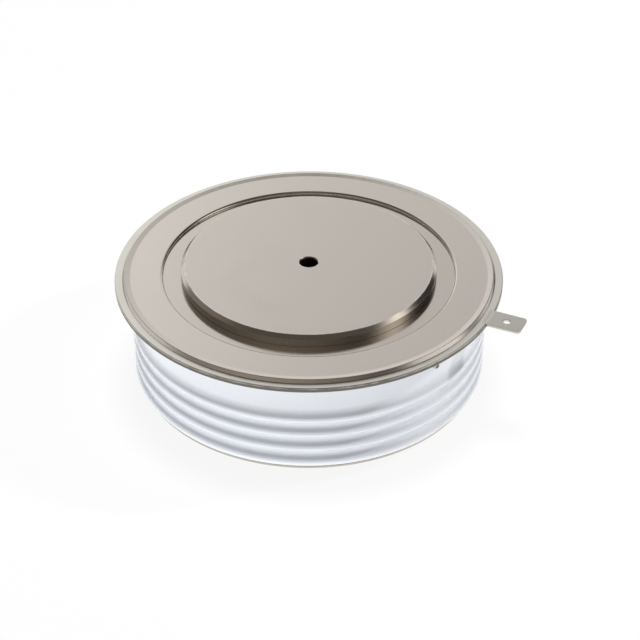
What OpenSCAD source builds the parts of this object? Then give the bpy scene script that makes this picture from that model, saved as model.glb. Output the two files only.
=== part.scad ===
// Disc thyristor in a ceramic press-pack capsule, in millimetres.
// The origin is the centre of the anode contact face, +Z points to the cathode
// and +X runs along the auxiliary cathode tab.

/* [Overall] */
// Height between the two contact faces
housing_h = 26; // [25:0.5:32]
// Diameter of both poles
pole_d = 50; // [42:0.5:58]
// Chamfer round each contact face
pole_chamfer = 0.7; // [0.3:0.05:1]
// Width of the shoulder on each pole that carries its flange
shoulder_w = 1.2; // [0.8:0.1:1.6]
// Diameter of the locating hole in each contact face
locating_hole_d = 3.5; // [2.5:0.1:4.5]
// Depth of the locating holes, down to the drill cone
locating_hole_depth = 2.5; // [1.5:0.1:3]
// Chamfer at the mouth of the cathode locating hole
locating_chamfer = 0.2; // [0.1:0.05:0.4]

/* [Flanges] */
// Thickness of the pressed flange sheets
flange_t = 0.5; // [0.3:0.05:0.7]
// Bend radius of the joggles, at the middle of the sheet
bend_r = 0.75; // [0.6:0.05:1]
// Distance from the cathode face down to the flange's plateau
plateau_drop = 1.65; // [1:0.05:2.5]
// Depth of the cathode flange's moat below the plateau
moat_depth = 0.65; // [0.4:0.05:1]
// Width of the moat's flat floor, from the pole to the joggle
moat_w = 3.2; // [2.4:0.1:4]
// Radius of the weld bead on the cathode flange's edge
bead_r = 0.4; // [0.3:0.05:0.6]
// Distance from the anode face up to the foot of the ceramic ring
anode_standoff = 2.45; // [1.6:0.05:3]
// Height of the joggle in the anode flange
anode_joggle = 0.6; // [0.4:0.05:1]
// How far the anode flange stays inside the ceramic's plain band
anode_flange_inset = 0.2; // [0.1:0.1:0.8]

/* [Weld ring and tab] */
// Thickness of the weld ring
ring_t = 0.95; // [0.5:0.05:1.2]
// Rounding of the weld ring's outer edges
ring_edge_r = 0.2; // [0.05:0.05:0.25]
// Gap between the joggle and the weld ring's bore
ring_bore_gap = 0.75; // [0.4:0.05:1.2]
// How far the ceramic's bore lies inside the weld ring's bore
ring_setback = 0.7; // [0.3:0.1:1.2]
// How far the weld ring stands out beyond the ceramic's crests
rim_overhang = 3; // [2:0.1:4]
// Width of the weld ring that is bare outside the bead
rim_bare_w = 1.5; // [0.8:0.05:1.8]
// Width of the auxiliary cathode tab
tab_w = 4.8; // [2.8:0.1:6.3]
// Thickness of the tab, flush with the top of the weld ring
tab_t = 0.5; // [0.3:0.05:0.5]
// Reach of the tab beyond the rim
tab_reach = 6.6; // [6:0.1:10]
// Diameter of the hole in the tab
tab_hole_d = 1.4; // [1:0.1:1.8]
// Distance from the tab's tip to the centre of its hole
tab_hole_inset = 3.4; // [2.5:0.1:4.5]
// Corner radius at the tab's tip
tab_corner_r = 0.8; // [0.4:0.1:1.2]

/* [Ceramic ring] */
// Wall of the ceramic ring, from bore to crest
ceramic_wall = 5.5; // [4:0.1:7]
// Number of ribs below the plain band
rib_count = 4; // [2:1:4]
// Distance from one rib to the next
rib_pitch = 3.3; // [2.6:0.05:3.4]
// How far the ribs stand out of the plain band
rib_depth = 0.8; // [0.5:0.05:1]
// Rounding between the plain band and the top rib
band_round_r = 2.4; // [1.5:0.1:3]
// Chamfer on the end edges of the ceramic ring
ceramic_chamfer = 0.3; // [0.1:0.05:0.5]

/* [Stack] */
// Height of the anode pole piece
anode_pole_h = 9; // [8:0.5:10]
// Depth of the ledge on the anode pole that carries the locating ring
ledge_depth = 1.5; // [1:0.1:2.5]
// Thickness of the molybdenum disc under the wafer
anode_disc_t = 2; // [1.5:0.1:2.5]
// Thickness of the silicon wafer
wafer_t = 0.5; // [0.3:0.05:0.8]
// How far the wafer lies inside the edge of the molybdenum disc
wafer_inset = 0.5; // [0.2:0.1:1]
// Width of the bevel on the wafer's edge
wafer_bevel_w = 0.6; // [0.3:0.1:1]
// Thickness of the molybdenum disc on the wafer
cathode_disc_t = 1; // [0.8:0.1:1.5]
// How far the cathode contact lies inside the pole's diameter
contact_inset = 3.5; // [3:0.1:5]
// Width of the rubber bead that covers the wafer's edge
rubber_w = 2.8; // [2:0.1:3]
// How far the rubber bead stands above the wafer
rubber_h = 0.7; // [0.4:0.1:0.9]
// Radial clearance of the locating ring
locating_gap = 0.15; // [0.05:0.05:0.3]
// How far the locating ring stands above the wafer
locating_h = 0.9; // [0.4:0.1:1.2]
// Chamfer on the edges of the pole pieces inside the capsule
inner_chamfer = 0.5; // [0.2:0.1:0.8]
// Height of the cathode pole's narrow part
neck_h = 3.5; // [3.3:0.1:4]
// Height of the taper above the narrow part
taper_h = 2.6; // [1:0.1:3]

/* [Gate] */
// Angle from the tab round to the gate tube, seen from above
gate_angle = -24.5; // [-90:0.5:-20]
// Diameter of the gate recess in the cathode pole
recess_d = 9; // [8:0.1:10]
// Depth of the gate recess
recess_h = 7.5; // [7:0.1:8]
// Radial clearance of the insulators in the recess
recess_gap = 0.1; // [0.05:0.05:0.2]
// Wall and floor of the insulating cup
cup_t = 0.8; // [0.5:0.1:1]
// How far the cup's rim hangs below the roof of the lead's slot
cup_lift = 0.3; // [0.2:0.05:0.4]
// Thickness of the washer under the cup's floor
washer_t = 0.3; // [0.2:0.05:0.5]
// Diameter of the gate pin's shank
pin_d = 1.8; // [1.4:0.1:2.2]
// Diameter of the gate pin's head
pin_head_d = 5.6; // [5:0.1:6]
// Thickness of the gate pin's head
pin_head_t = 0.6; // [0.4:0.1:1]
// Radial clearance of the pin in its guide
pin_gap = 0.1; // [0.05:0.05:0.2]
// Mean diameter of the gate spring
spring_d = 4.4; // [3.6:0.1:4.8]
// Wire diameter of the gate spring
spring_wire_d = 0.5; // [0.3:0.05:0.6]
// Turns of the gate spring
spring_turns = 4; // [3:1:5]
// Depth of the slot for the gate lead
slot_h = 3; // [2.6:0.1:3.2]
// Width of the slot for the gate lead
slot_w = 2; // [1.6:0.1:3]
// Diameter of the gate lead
lead_d = 0.7; // [0.5:0.05:0.8]
// Clearance round the gate lead in its holes
lead_gap = 0.05; // [0.02:0.01:0.1]
// Wall of the sleeve on the gate lead
sleeve_wall = 0.3; // [0.2:0.05:0.35]
// Bend radius of the gate lead
lead_bend_r = 1.2; // [0.9:0.1:1.3]
// Distance from the top of the ceramic down to the gate tube
gate_drop = 1.8; // [1.4:0.05:4]
// Wall of the gate tube
tube_wall = 0.25; // [0.2:0.05:0.4]
// How far the gate tube stands out of the ceramic's plain band
tube_proud = 2.3; // [1.5:0.1:3.5]
// How far the gate tube reaches into the ceramic's bore
tube_inside = 0.3; // [0.1:0.1:0.5]
// Width of the collar round the gate tube
collar_w = 0.5; // [0.3:0.1:0.8]
// Thickness of the collar round the gate tube
collar_t = 0.4; // [0.2:0.1:0.6]
// Clearance that the braze fills at poles, tube and collar
braze_gap = 0.05; // [0.02:0.01:0.1]

/* [Hidden] */
$fn = 96;

// Excess for cuts that run past a face
cut = 1;
// Facets of the large cylinder that shapes a small seat
fine_fn = 720;
// Slope of a drill's point, depth over radius
drill_cone = 0.6;

// Heights from the anode face up
plateau_z = housing_h - plateau_drop;
ring_z = plateau_z - flange_t - ring_t;
moat_z = plateau_z - moat_depth;
foot_z = anode_standoff;
anode_seat_z = foot_z + anode_joggle;
ledge_z = anode_pole_h - ledge_depth;
wafer_z = anode_pole_h + anode_disc_t;
wafer_top_z = wafer_z + wafer_t;
contact_z = wafer_top_z + cathode_disc_t;

// Radii from the axis out
pole_r = pole_d / 2;
shoulder_r = pole_r + shoulder_w;
flange_bore_r = pole_r + braze_gap;
cathode_joggle_run = joggle_run(moat_depth);
anode_joggle_run = joggle_run(anode_joggle);
joggle_r = pole_r + moat_w;
ring_bore_r = joggle_r + max(cathode_joggle_run, anode_joggle_run) + ring_bore_gap;
bore_r = ring_bore_r - ring_setback;
crest_r = bore_r + ceramic_wall;
band_r = crest_r - rib_depth;
rim_r = crest_r + rim_overhang;
bead_centre_r = rim_r - rim_bare_w - bead_r;
contact_r = pole_r - contact_inset;
wafer_r = pole_r - wafer_inset;

// Ribs of the ceramic ring: equal arcs that meet halfway between crest and groove
rib_arc_r = (pow(rib_pitch / 2, 2) + pow(rib_depth, 2)) / (4 * rib_depth);
rib_arc_angle = asin(rib_pitch / 4 / rib_arc_r);
rib_steps = 8;
band_angle = acos(1 - rib_depth / (rib_arc_r + band_round_r));

// Gate assembly
lead_r = lead_d / 2;
recess_r = recess_d / 2;
pin_r = pin_d / 2;
sleeve_bore_r = lead_r + lead_gap;
sleeve_r = sleeve_bore_r + sleeve_wall;
cup_rim_z = contact_z + slot_h - cup_lift;
slot_z = cup_rim_z - 2 * lead_gap - sleeve_r;
head_z = contact_z + slot_h;
head_top_z = head_z + pin_head_t;
recess_top_z = contact_z + recess_h;
cup_floor_z = recess_top_z - cup_t;
washer_z = cup_floor_z - washer_t;
cup_r = recess_r - recess_gap;
cup_bore_r = cup_r - cup_t;
guide_top_z = slot_z - sleeve_r - lead_gap;
gate_z = ring_z - gate_drop;
lead_rise_r = (shoulder_r + bore_r) / 2;
tube_bore_r = lead_r + lead_gap;
tube_r = tube_bore_r + tube_wall;
tube_tip_r = band_r + tube_proud;
sleeve_start_r = pin_r + 4 * lead_gap + sleeve_wall;
sleeve_end_r = lead_rise_r - lead_bend_r;

nickel = [0.73, 0.70, 0.66];
alumina = [0.93, 0.94, 0.96];
molybdenum = [0.58, 0.58, 0.60];
fluoropolymer = [0.90, 0.90, 0.88];
spring_steel = [0.70, 0.70, 0.70];

// Points along an arc about a centre, from one angle to another
function arc(centre, r, from, to, steps) =
  [for (i = [0:steps]) let (a = from + (to - from) * i / steps) centre + r * [cos(a), sin(a)]];

// Angle and run of a joggle that shifts a sheet by a given height
function joggle_angle(shift) = acos(1 - shift / (2 * bend_r));
function joggle_run(shift) = 2 * bend_r * sin(joggle_angle(shift));

// Section of a sheet that steps up by shift, from a low inner part to a high outer
// part that ends in the given outline
module joggled_sheet(inner_r, bend_start_r, low_top_z, shift, outer_end) {
  bend_steps = 6;
  half = flange_t / 2;
  turn = joggle_angle(shift);
  low_mid_z = low_top_z - half;
  low_centre = [bend_start_r, low_mid_z + bend_r];
  high_centre = [bend_start_r + joggle_run(shift), low_mid_z + shift - bend_r];
  polygon(concat(
    [[inner_r, low_top_z]],
    arc(low_centre, bend_r - half, -90, turn - 90, bend_steps),
    arc(high_centre, bend_r + half, turn + 90, 90, bend_steps),
    outer_end,
    arc(high_centre, bend_r - half, 90, turn + 90, bend_steps),
    arc(low_centre, bend_r + half, turn - 90, -90, bend_steps),
    [[inner_r, low_top_z - flange_t]]
  ));
}

// Blind locating hole that opens downwards at the origin
module locating_hole() {
  hole_r = locating_hole_d / 2;
  translate([0, 0, -cut]) cylinder(r = hole_r, h = locating_hole_depth + cut);
  translate([0, 0, locating_hole_depth]) cylinder(r1 = hole_r, r2 = 0, h = hole_r * drill_cone);
}

// Places its children along the gate lead's direction
module along_gate() {
  rotate([0, 0, gate_angle]) children();
}

// Straight round bar along the gate direction
module radial_bar(r, from_r, to_r, z) {
  translate([from_r, 0, z]) rotate([0, 90, 0]) cylinder(r = r, h = to_r - from_r);
}

// Quarter bend in the plane of the gate lead
module quarter_bend(r, centre_r, centre_z, from) {
  translate([centre_r, 0, centre_z]) rotate([90, -from, 0]) rotate_extrude(angle = 90)
    translate([lead_bend_r, 0]) circle(r = r);
}

// Height of a rib's crest, counted from the foot up
function rib_z(rib) = foot_z + (rib + 0.5) * rib_pitch;

// Section of the ceramic ring, from the foot over the ribs to the plain band
module ceramic_section() {
  crest_c = crest_r - rib_arc_r;
  groove_c = band_r + rib_arc_r;
  foot_angle = asin(ceramic_chamfer / rib_arc_r);
  last = rib_count - 1;
  band_centre = [band_r + band_round_r, rib_z(last) + (rib_arc_r + band_round_r) * sin(band_angle)];
  polygon(concat(
    [[bore_r, foot_z], [band_r - ceramic_chamfer, foot_z]],
    arc([groove_c, foot_z], rib_arc_r, 180 - foot_angle, 180 - rib_arc_angle, rib_steps),
    [for (rib = [0:last]) each concat(
      arc([crest_c, rib_z(rib)], rib_arc_r,
        -rib_arc_angle, rib == last ? band_angle : rib_arc_angle, 2 * rib_steps),
      rib == last ? [] : arc([groove_c, rib_z(rib) + rib_pitch / 2], rib_arc_r,
        180 + rib_arc_angle, 180 - rib_arc_angle, 2 * rib_steps)
    )],
    arc(band_centre, band_round_r, 180 + band_angle, 180, rib_steps),
    [
      [band_r, ring_z - ceramic_chamfer],
      [band_r - ceramic_chamfer, ring_z],
      [bore_r, ring_z]
    ]
  ));
}

module ceramic_ring() {
  color(alumina) difference() {
    rotate_extrude() ceramic_section();
    along_gate() radial_bar(tube_r + braze_gap, bore_r - cut, crest_r + cut, gate_z);
  }
}

module upper_weld_ring() {
  tab_tip_r = rim_r + tab_reach;
  corner_y = tab_w / 2 - tab_corner_r;
  color(nickel) difference() {
    union() {
      rotate_extrude() polygon(concat(
        [[ring_bore_r, ring_z]],
        arc([rim_r - ring_edge_r, ring_z + ring_edge_r], ring_edge_r, -90, 0, 4),
        arc([rim_r - ring_edge_r, ring_z + ring_t - ring_edge_r], ring_edge_r, 0, 90, 4),
        [[ring_bore_r, ring_z + ring_t]]
      ));
      translate([0, 0, ring_z + ring_t - tab_t]) linear_extrude(tab_t) {
        translate([crest_r, -tab_w / 2]) square([tab_tip_r - crest_r - tab_corner_r, tab_w]);
        translate([crest_r, -corner_y]) square([tab_tip_r - crest_r, 2 * corner_y]);
        for (side = [-1, 1]) translate([tab_tip_r - tab_corner_r, side * corner_y]) circle(r = tab_corner_r);
      }
    }
    translate([tab_tip_r - tab_hole_inset, 0, ring_z - cut]) cylinder(d = tab_hole_d, h = ring_t + 2 * cut);
  }
}

module cathode_flange() {
  bead_foot_angle = -asin(min(1, flange_t / bead_r));
  bead = arc([bead_centre_r, plateau_z], bead_r, 180, bead_foot_angle, 20);
  color(nickel) rotate_extrude()
    joggled_sheet(flange_bore_r, joggle_r, moat_z, moat_depth,
      concat(bead, [[bead_centre_r, plateau_z - flange_t]]));
}

module cathode_pole_piece() {
  seat_z = moat_z - flange_t;
  color(nickel) difference() {
    rotate_extrude() polygon([
      [0, contact_z],
      [contact_r - inner_chamfer, contact_z],
      [contact_r, contact_z + inner_chamfer],
      [contact_r, contact_z + neck_h],
      [shoulder_r, contact_z + neck_h + taper_h],
      [shoulder_r, seat_z],
      [pole_r, seat_z],
      [pole_r, housing_h - pole_chamfer],
      [pole_r - pole_chamfer, housing_h],
      [0, housing_h]
    ]);
    translate([0, 0, housing_h]) mirror([0, 0, 1]) {
      locating_hole();
      cylinder(d1 = locating_hole_d + 2 * locating_chamfer, d2 = locating_hole_d, h = locating_chamfer);
    }
    translate([0, 0, contact_z - cut]) cylinder(r = recess_r, h = recess_h + cut);
    along_gate() translate([0, -slot_w / 2, contact_z - cut])
      cube([contact_r + cut, slot_w, slot_h + cut]);
  }
}

module anode_flange() {
  edge_r = band_r - anode_flange_inset;
  low_top_z = flange_t - anode_seat_z;
  high_top_z = low_top_z + anode_joggle;
  color(nickel) rotate_extrude() mirror([0, 1])
    joggled_sheet(flange_bore_r, joggle_r, low_top_z, anode_joggle,
      [[edge_r, high_top_z], [edge_r, high_top_z - flange_t]]);
}

module anode_pole_piece() {
  color(nickel) difference() {
    rotate_extrude() polygon([
      [0, 0],
      [pole_r - pole_chamfer, 0],
      [pole_r, pole_chamfer],
      [pole_r, anode_seat_z],
      [shoulder_r, anode_seat_z],
      [shoulder_r, ledge_z],
      [pole_r, ledge_z],
      [pole_r, anode_pole_h - inner_chamfer],
      [pole_r - inner_chamfer, anode_pole_h],
      [0, anode_pole_h]
    ]);
    locating_hole();
  }
}

module anode_molybdenum_disc() {
  color(molybdenum) translate([0, 0, anode_pole_h]) cylinder(r = pole_r, h = anode_disc_t);
}

module silicon_wafer() {
  color([0.32, 0.33, 0.38]) translate([0, 0, wafer_z])
    cylinder(r1 = wafer_r, r2 = wafer_r - wafer_bevel_w, h = wafer_t);
}

module cathode_molybdenum_disc() {
  color(molybdenum) translate([0, 0, wafer_top_z]) difference() {
    cylinder(r = contact_r, h = cathode_disc_t);
    translate([0, 0, -cut]) cylinder(r = recess_r, h = cathode_disc_t + 2 * cut);
  }
}

module wafer_edge_rubber() {
  top_z = wafer_top_z + rubber_h;
  color([0.55, 0.20, 0.16]) rotate_extrude() polygon([
    [pole_r, wafer_z],
    [pole_r, wafer_top_z],
    [pole_r - rubber_h, top_z],
    [pole_r - rubber_w, top_z],
    [pole_r - rubber_w, wafer_top_z],
    [wafer_r - wafer_bevel_w, wafer_top_z],
    [wafer_r, wafer_z]
  ]);
}

module locating_ring() {
  inner_r = pole_r + locating_gap;
  outer_r = bore_r - locating_gap;
  top_z = wafer_top_z + locating_h;
  color(fluoropolymer) rotate_extrude() polygon([
    [inner_r, ledge_z],
    [outer_r - inner_chamfer, ledge_z],
    [outer_r, ledge_z + inner_chamfer],
    [outer_r, top_z - inner_chamfer],
    [outer_r - inner_chamfer, top_z],
    [inner_r + inner_chamfer, top_z],
    [inner_r, top_z - inner_chamfer]
  ]);
}

module gate_contact_pin() {
  color(spring_steel) difference() {
    union() {
      translate([0, 0, wafer_top_z]) cylinder(r = pin_r, h = head_top_z - wafer_top_z);
      translate([0, 0, head_z]) cylinder(d = pin_head_d, h = pin_head_t);
    }
    along_gate() radial_bar(lead_r + lead_gap, -pin_r - cut, pin_r + cut, slot_z);
  }
}

// Ring of points round the spring's wire at one step of the helix
function coil_ring(step, steps, sides) =
  let (turn = 360 * spring_turns * step / steps)
  let (wire_r = spring_wire_d / 2)
  let (low_z = head_top_z + wire_r)
  let (high_z = washer_z - wire_r)
  [for (side = [0:sides - 1])
    let (a = 360 * side / sides)
    let (r = spring_d / 2 + wire_r * cos(a))
    [r * cos(turn), r * sin(turn), low_z + (high_z - low_z) * step / steps + wire_r * sin(a)]];

module gate_spring() {
  sides = 8;
  steps = 20 * spring_turns;
  points = [for (step = [0:steps]) each coil_ring(step, steps, sides)];
  walls = [for (step = [0:steps - 1], side = [0:sides - 1])
    let (next = (side + 1) % sides)
    [step * sides + side, (step + 1) * sides + side, (step + 1) * sides + next, step * sides + next]];
  start_cap = [for (side = [0:sides - 1]) side];
  end_cap = [for (side = [sides - 1:-1:0]) steps * sides + side];
  color(spring_steel) polyhedron(points, concat(walls, [start_cap, end_cap]));
}

module gate_spring_washer() {
  color(spring_steel) translate([0, 0, washer_z]) cylinder(r = cup_bore_r - recess_gap, h = washer_t);
}

module gate_insulating_cup() {
  color(fluoropolymer) difference() {
    translate([0, 0, cup_rim_z]) cylinder(r = cup_r, h = recess_top_z - cup_rim_z);
    translate([0, 0, cup_rim_z - cut]) cylinder(r = cup_bore_r, h = cup_floor_z - cup_rim_z + cut);
  }
}

module gate_pin_guide() {
  guide_h = guide_top_z - wafer_top_z;
  color(fluoropolymer) translate([0, 0, wafer_top_z]) difference() {
    cylinder(r = cup_r, h = guide_h);
    translate([0, 0, -cut]) cylinder(r = pin_r + pin_gap, h = guide_h + 2 * cut);
  }
}

module gate_lead_wire() {
  rise_from_z = slot_z + lead_bend_r;
  rise_to_z = gate_z - lead_bend_r;
  color(spring_steel) along_gate() {
    radial_bar(lead_r, -pin_r, sleeve_end_r, slot_z);
    quarter_bend(lead_r, sleeve_end_r, rise_from_z, -90);
    translate([lead_rise_r, 0, rise_from_z]) cylinder(r = lead_r, h = rise_to_z - rise_from_z);
    quarter_bend(lead_r, lead_rise_r + lead_bend_r, rise_to_z, 90);
    radial_bar(lead_r, lead_rise_r + lead_bend_r, tube_tip_r - tube_wall, gate_z);
  }
}

module gate_lead_sleeve() {
  color(fluoropolymer) along_gate() difference() {
    radial_bar(sleeve_r, sleeve_start_r, sleeve_end_r, slot_z);
    radial_bar(sleeve_bore_r, sleeve_start_r - cut, sleeve_end_r + cut, slot_z);
  }
}

module gate_feedthrough_tube() {
  color(nickel) along_gate() difference() {
    radial_bar(tube_r, bore_r - tube_inside, tube_tip_r, gate_z);
    radial_bar(tube_bore_r, bore_r - tube_inside - cut, tube_tip_r + cut, gate_z);
  }
}

module gate_tube_collar() {
  collar_r = tube_r + braze_gap + collar_w;
  color(nickel) difference() {
    along_gate() difference() {
      radial_bar(collar_r, band_r - collar_t, band_r + collar_t, gate_z);
      radial_bar(tube_r + braze_gap, band_r - 2 * collar_t, band_r + 2 * collar_t, gate_z);
    }
    translate([0, 0, foot_z]) cylinder(r = band_r, h = housing_h, $fn = fine_fn);
  }
}

ceramic_ring();
upper_weld_ring();
cathode_flange();
cathode_pole_piece();
anode_flange();
anode_pole_piece();
anode_molybdenum_disc();
silicon_wafer();
cathode_molybdenum_disc();
wafer_edge_rubber();
locating_ring();
gate_contact_pin();
gate_spring();
gate_spring_washer();
gate_insulating_cup();
gate_pin_guide();
gate_lead_wire();
gate_lead_sleeve();
gate_feedthrough_tube();
gate_tube_collar();
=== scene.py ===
"""Looks of a disc thyristor in its ceramic capsule.

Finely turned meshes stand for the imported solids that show, each piece has its own
procedural finish, and a small studio lights it from the photograph's viewpoint.
Sizes in the classes are millimetres; meshes are in metres.
"""

import logging
import math
from dataclasses import dataclass, field
from enum import Enum
from typing import Any, Callable, Optional, Sequence

import bmesh
import bpy
from mathutils import Matrix, Vector, noise


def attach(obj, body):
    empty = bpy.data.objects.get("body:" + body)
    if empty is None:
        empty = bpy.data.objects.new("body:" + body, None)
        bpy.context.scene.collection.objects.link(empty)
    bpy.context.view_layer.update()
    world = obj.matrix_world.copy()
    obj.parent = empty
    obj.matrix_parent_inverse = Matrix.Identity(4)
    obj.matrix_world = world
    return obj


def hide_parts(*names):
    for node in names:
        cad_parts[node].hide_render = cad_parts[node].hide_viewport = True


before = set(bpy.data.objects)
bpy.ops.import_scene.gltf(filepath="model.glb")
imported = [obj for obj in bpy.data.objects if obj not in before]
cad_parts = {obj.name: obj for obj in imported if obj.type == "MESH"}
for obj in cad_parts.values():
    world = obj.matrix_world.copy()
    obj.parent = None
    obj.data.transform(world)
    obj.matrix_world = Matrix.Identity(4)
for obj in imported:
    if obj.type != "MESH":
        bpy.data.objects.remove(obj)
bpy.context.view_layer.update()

LOG = logging.getLogger("disc_thyristor")
MM = 0.001
MM_PER_M = 1000.0
FLOAT_SOCKET = "NodeSocketFloat"
Point = tuple[float, float]
Section = list[Point]
Color = tuple[float, float, float]
Wobble = Callable[[float, float, float], Point]
Socket = bpy.types.NodeSocket
NodeTree = bpy.types.NodeTree
Node = bpy.types.Node
Mesh = bpy.types.Mesh
Material = bpy.types.Material


class Slot(Enum):
    """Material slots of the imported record."""

    GLAZE = "glazed_alumina"
    RIM = "rim_nickel"
    FLANGE = "flange_nickel"
    POLE = "pole_nickel"
    MOLYBDENUM = "molybdenum"
    SILICON = "silicon"
    RUBBER = "edge_rubber"
    POLYMER = "fluoropolymer"
    GATE = "gate_metal"


Finishes = dict[Slot, Material]


def between(start: Point, end: Point, share: float) -> Point:
    """Gives the point at a share of the way between two points."""
    return start[0] + (end[0] - start[0]) * share, start[1] + (end[1] - start[1]) * share


def arc(centre: Point, radius: float, start: float, end: float, steps: int) -> Section:
    """Gives points along an arc in the section plane.

    Args:
        centre: Centre as radius and height.
        radius: Radius of the arc.
        start: First angle in degrees.
        end: Last angle in degrees.
        steps: Number of steps between them.

    Returns:
        The points in order, both ends included.
    """
    points = []
    for i in range(steps + 1):
        angle = math.radians(start + (end - start) * i / steps)
        points.append((centre[0] + radius * math.cos(angle), centre[1] + radius * math.sin(angle)))
    return points


@dataclass(frozen=True)
class Lathe:
    """Turns a section into a smooth closed mesh.

    Attributes:
        segments: Steps round the axis.
        support: Distance of the extra points that keep flats flat beside a rounding.
        long_edge: Length, counted in supports, above which an edge gets them.
        sharp: Angle in degrees above which an edge stays sharp.
    """

    segments: int = 360
    support: float = 0.04
    long_edge: float = 6.0
    sharp: float = 40.0

    def supported(self, section: Section, closed: bool) -> Section:
        """Adds a point beside each end of every long edge of a section.

        Args:
            section: Points as radius and height.
            closed: Whether the last point joins the first.

        Returns:
            The section with its extra points.
        """
        result: Section = []
        count = len(section)
        for i, start in enumerate(section):
            result.append(start)
            if i == count - 1 and not closed:
                break
            end = section[(i + 1) % count]
            length = math.dist(start, end)
            if length > self.long_edge * self.support:
                share = self.support / length
                result += [between(start, end, share), between(start, end, 1 - share)]
        return result

    def mesh(self, name: str, section: Section, closed: bool, place: Optional[Matrix] = None,
             wobble: Optional[Wobble] = None) -> Mesh:
        """Turns a section about the Z axis.

        Args:
            name: Name of the new mesh.
            section: Points as radius and height in millimetres.
            closed: True for a ring, False for a section that starts and ends on the axis.
            place: Optional matrix, in metres, that moves the turned form into place.
            wobble: Optional function from angle, radius and height to a small shift of both.

        Returns:
            The mesh, in metres.
        """
        points = self.supported(section, closed)
        vertices: list[tuple[float, float, float]] = []
        rings: list[list[int]] = []
        for radius, height in points:
            first = len(vertices)
            if radius < 1e-9:
                vertices.append((0.0, 0.0, height * MM))
                rings.append([first] * self.segments)
                continue
            for step in range(self.segments):
                angle = 2 * math.pi * step / self.segments
                shift = wobble(angle, radius, height) if wobble else (0.0, 0.0)
                reach = (radius + shift[0]) * MM
                vertices.append((reach * math.cos(angle), reach * math.sin(angle), (height + shift[1]) * MM))
            rings.append(list(range(first, first + self.segments)))
        faces: list[list[int]] = []
        pairs = len(rings) if closed else len(rings) - 1
        for i in range(pairs):
            lower = rings[i]
            upper = rings[(i + 1) % len(rings)]
            for step in range(self.segments):
                after = (step + 1) % self.segments
                corners = [lower[step], lower[after], upper[after], upper[step]]
                face = list(dict.fromkeys(corners))
                if len(face) > 2:
                    faces.append(face)
        mesh = bpy.data.meshes.new(name)
        mesh.from_pydata(vertices, [], faces)
        if place is not None:
            mesh.transform(place)
        smooth(mesh, self.sharp)
        return mesh


def smooth(mesh: Mesh, sharp: float) -> None:
    """Points all normals outwards and smooths all but the sharp edges.

    Args:
        mesh: Mesh to change.
        sharp: Angle in degrees above which an edge stays sharp.
    """
    work = bmesh.new()
    work.from_mesh(mesh)
    bmesh.ops.recalc_face_normals(work, faces=work.faces)
    work.to_mesh(mesh)
    work.free()
    mesh.shade_smooth()
    mesh.set_sharp_from_angle(angle=math.radians(sharp))


def add_to_scene(item: bpy.types.Object) -> None:
    """Links an object into the scene."""
    bpy.context.scene.collection.objects.link(item)


def place_piece(mesh: Mesh, finishes: Finishes, slot: Slot, node: str) -> None:
    """Puts a mesh into the scene as a finished piece of the part.

    Args:
        mesh: Mesh in the part's frame, which gives the piece its name.
        finishes: Materials by slot.
        slot: The record's slot of the piece.
        node: Solid that the piece stands for.
    """
    piece = bpy.data.objects.new(mesh.name, mesh)
    mesh.materials.append(finishes[slot])
    add_to_scene(piece)
    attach(piece, "root")
    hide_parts(node)
    LOG.info("%s: %d faces, stands for %s", mesh.name, len(mesh.polygons), node)


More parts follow.
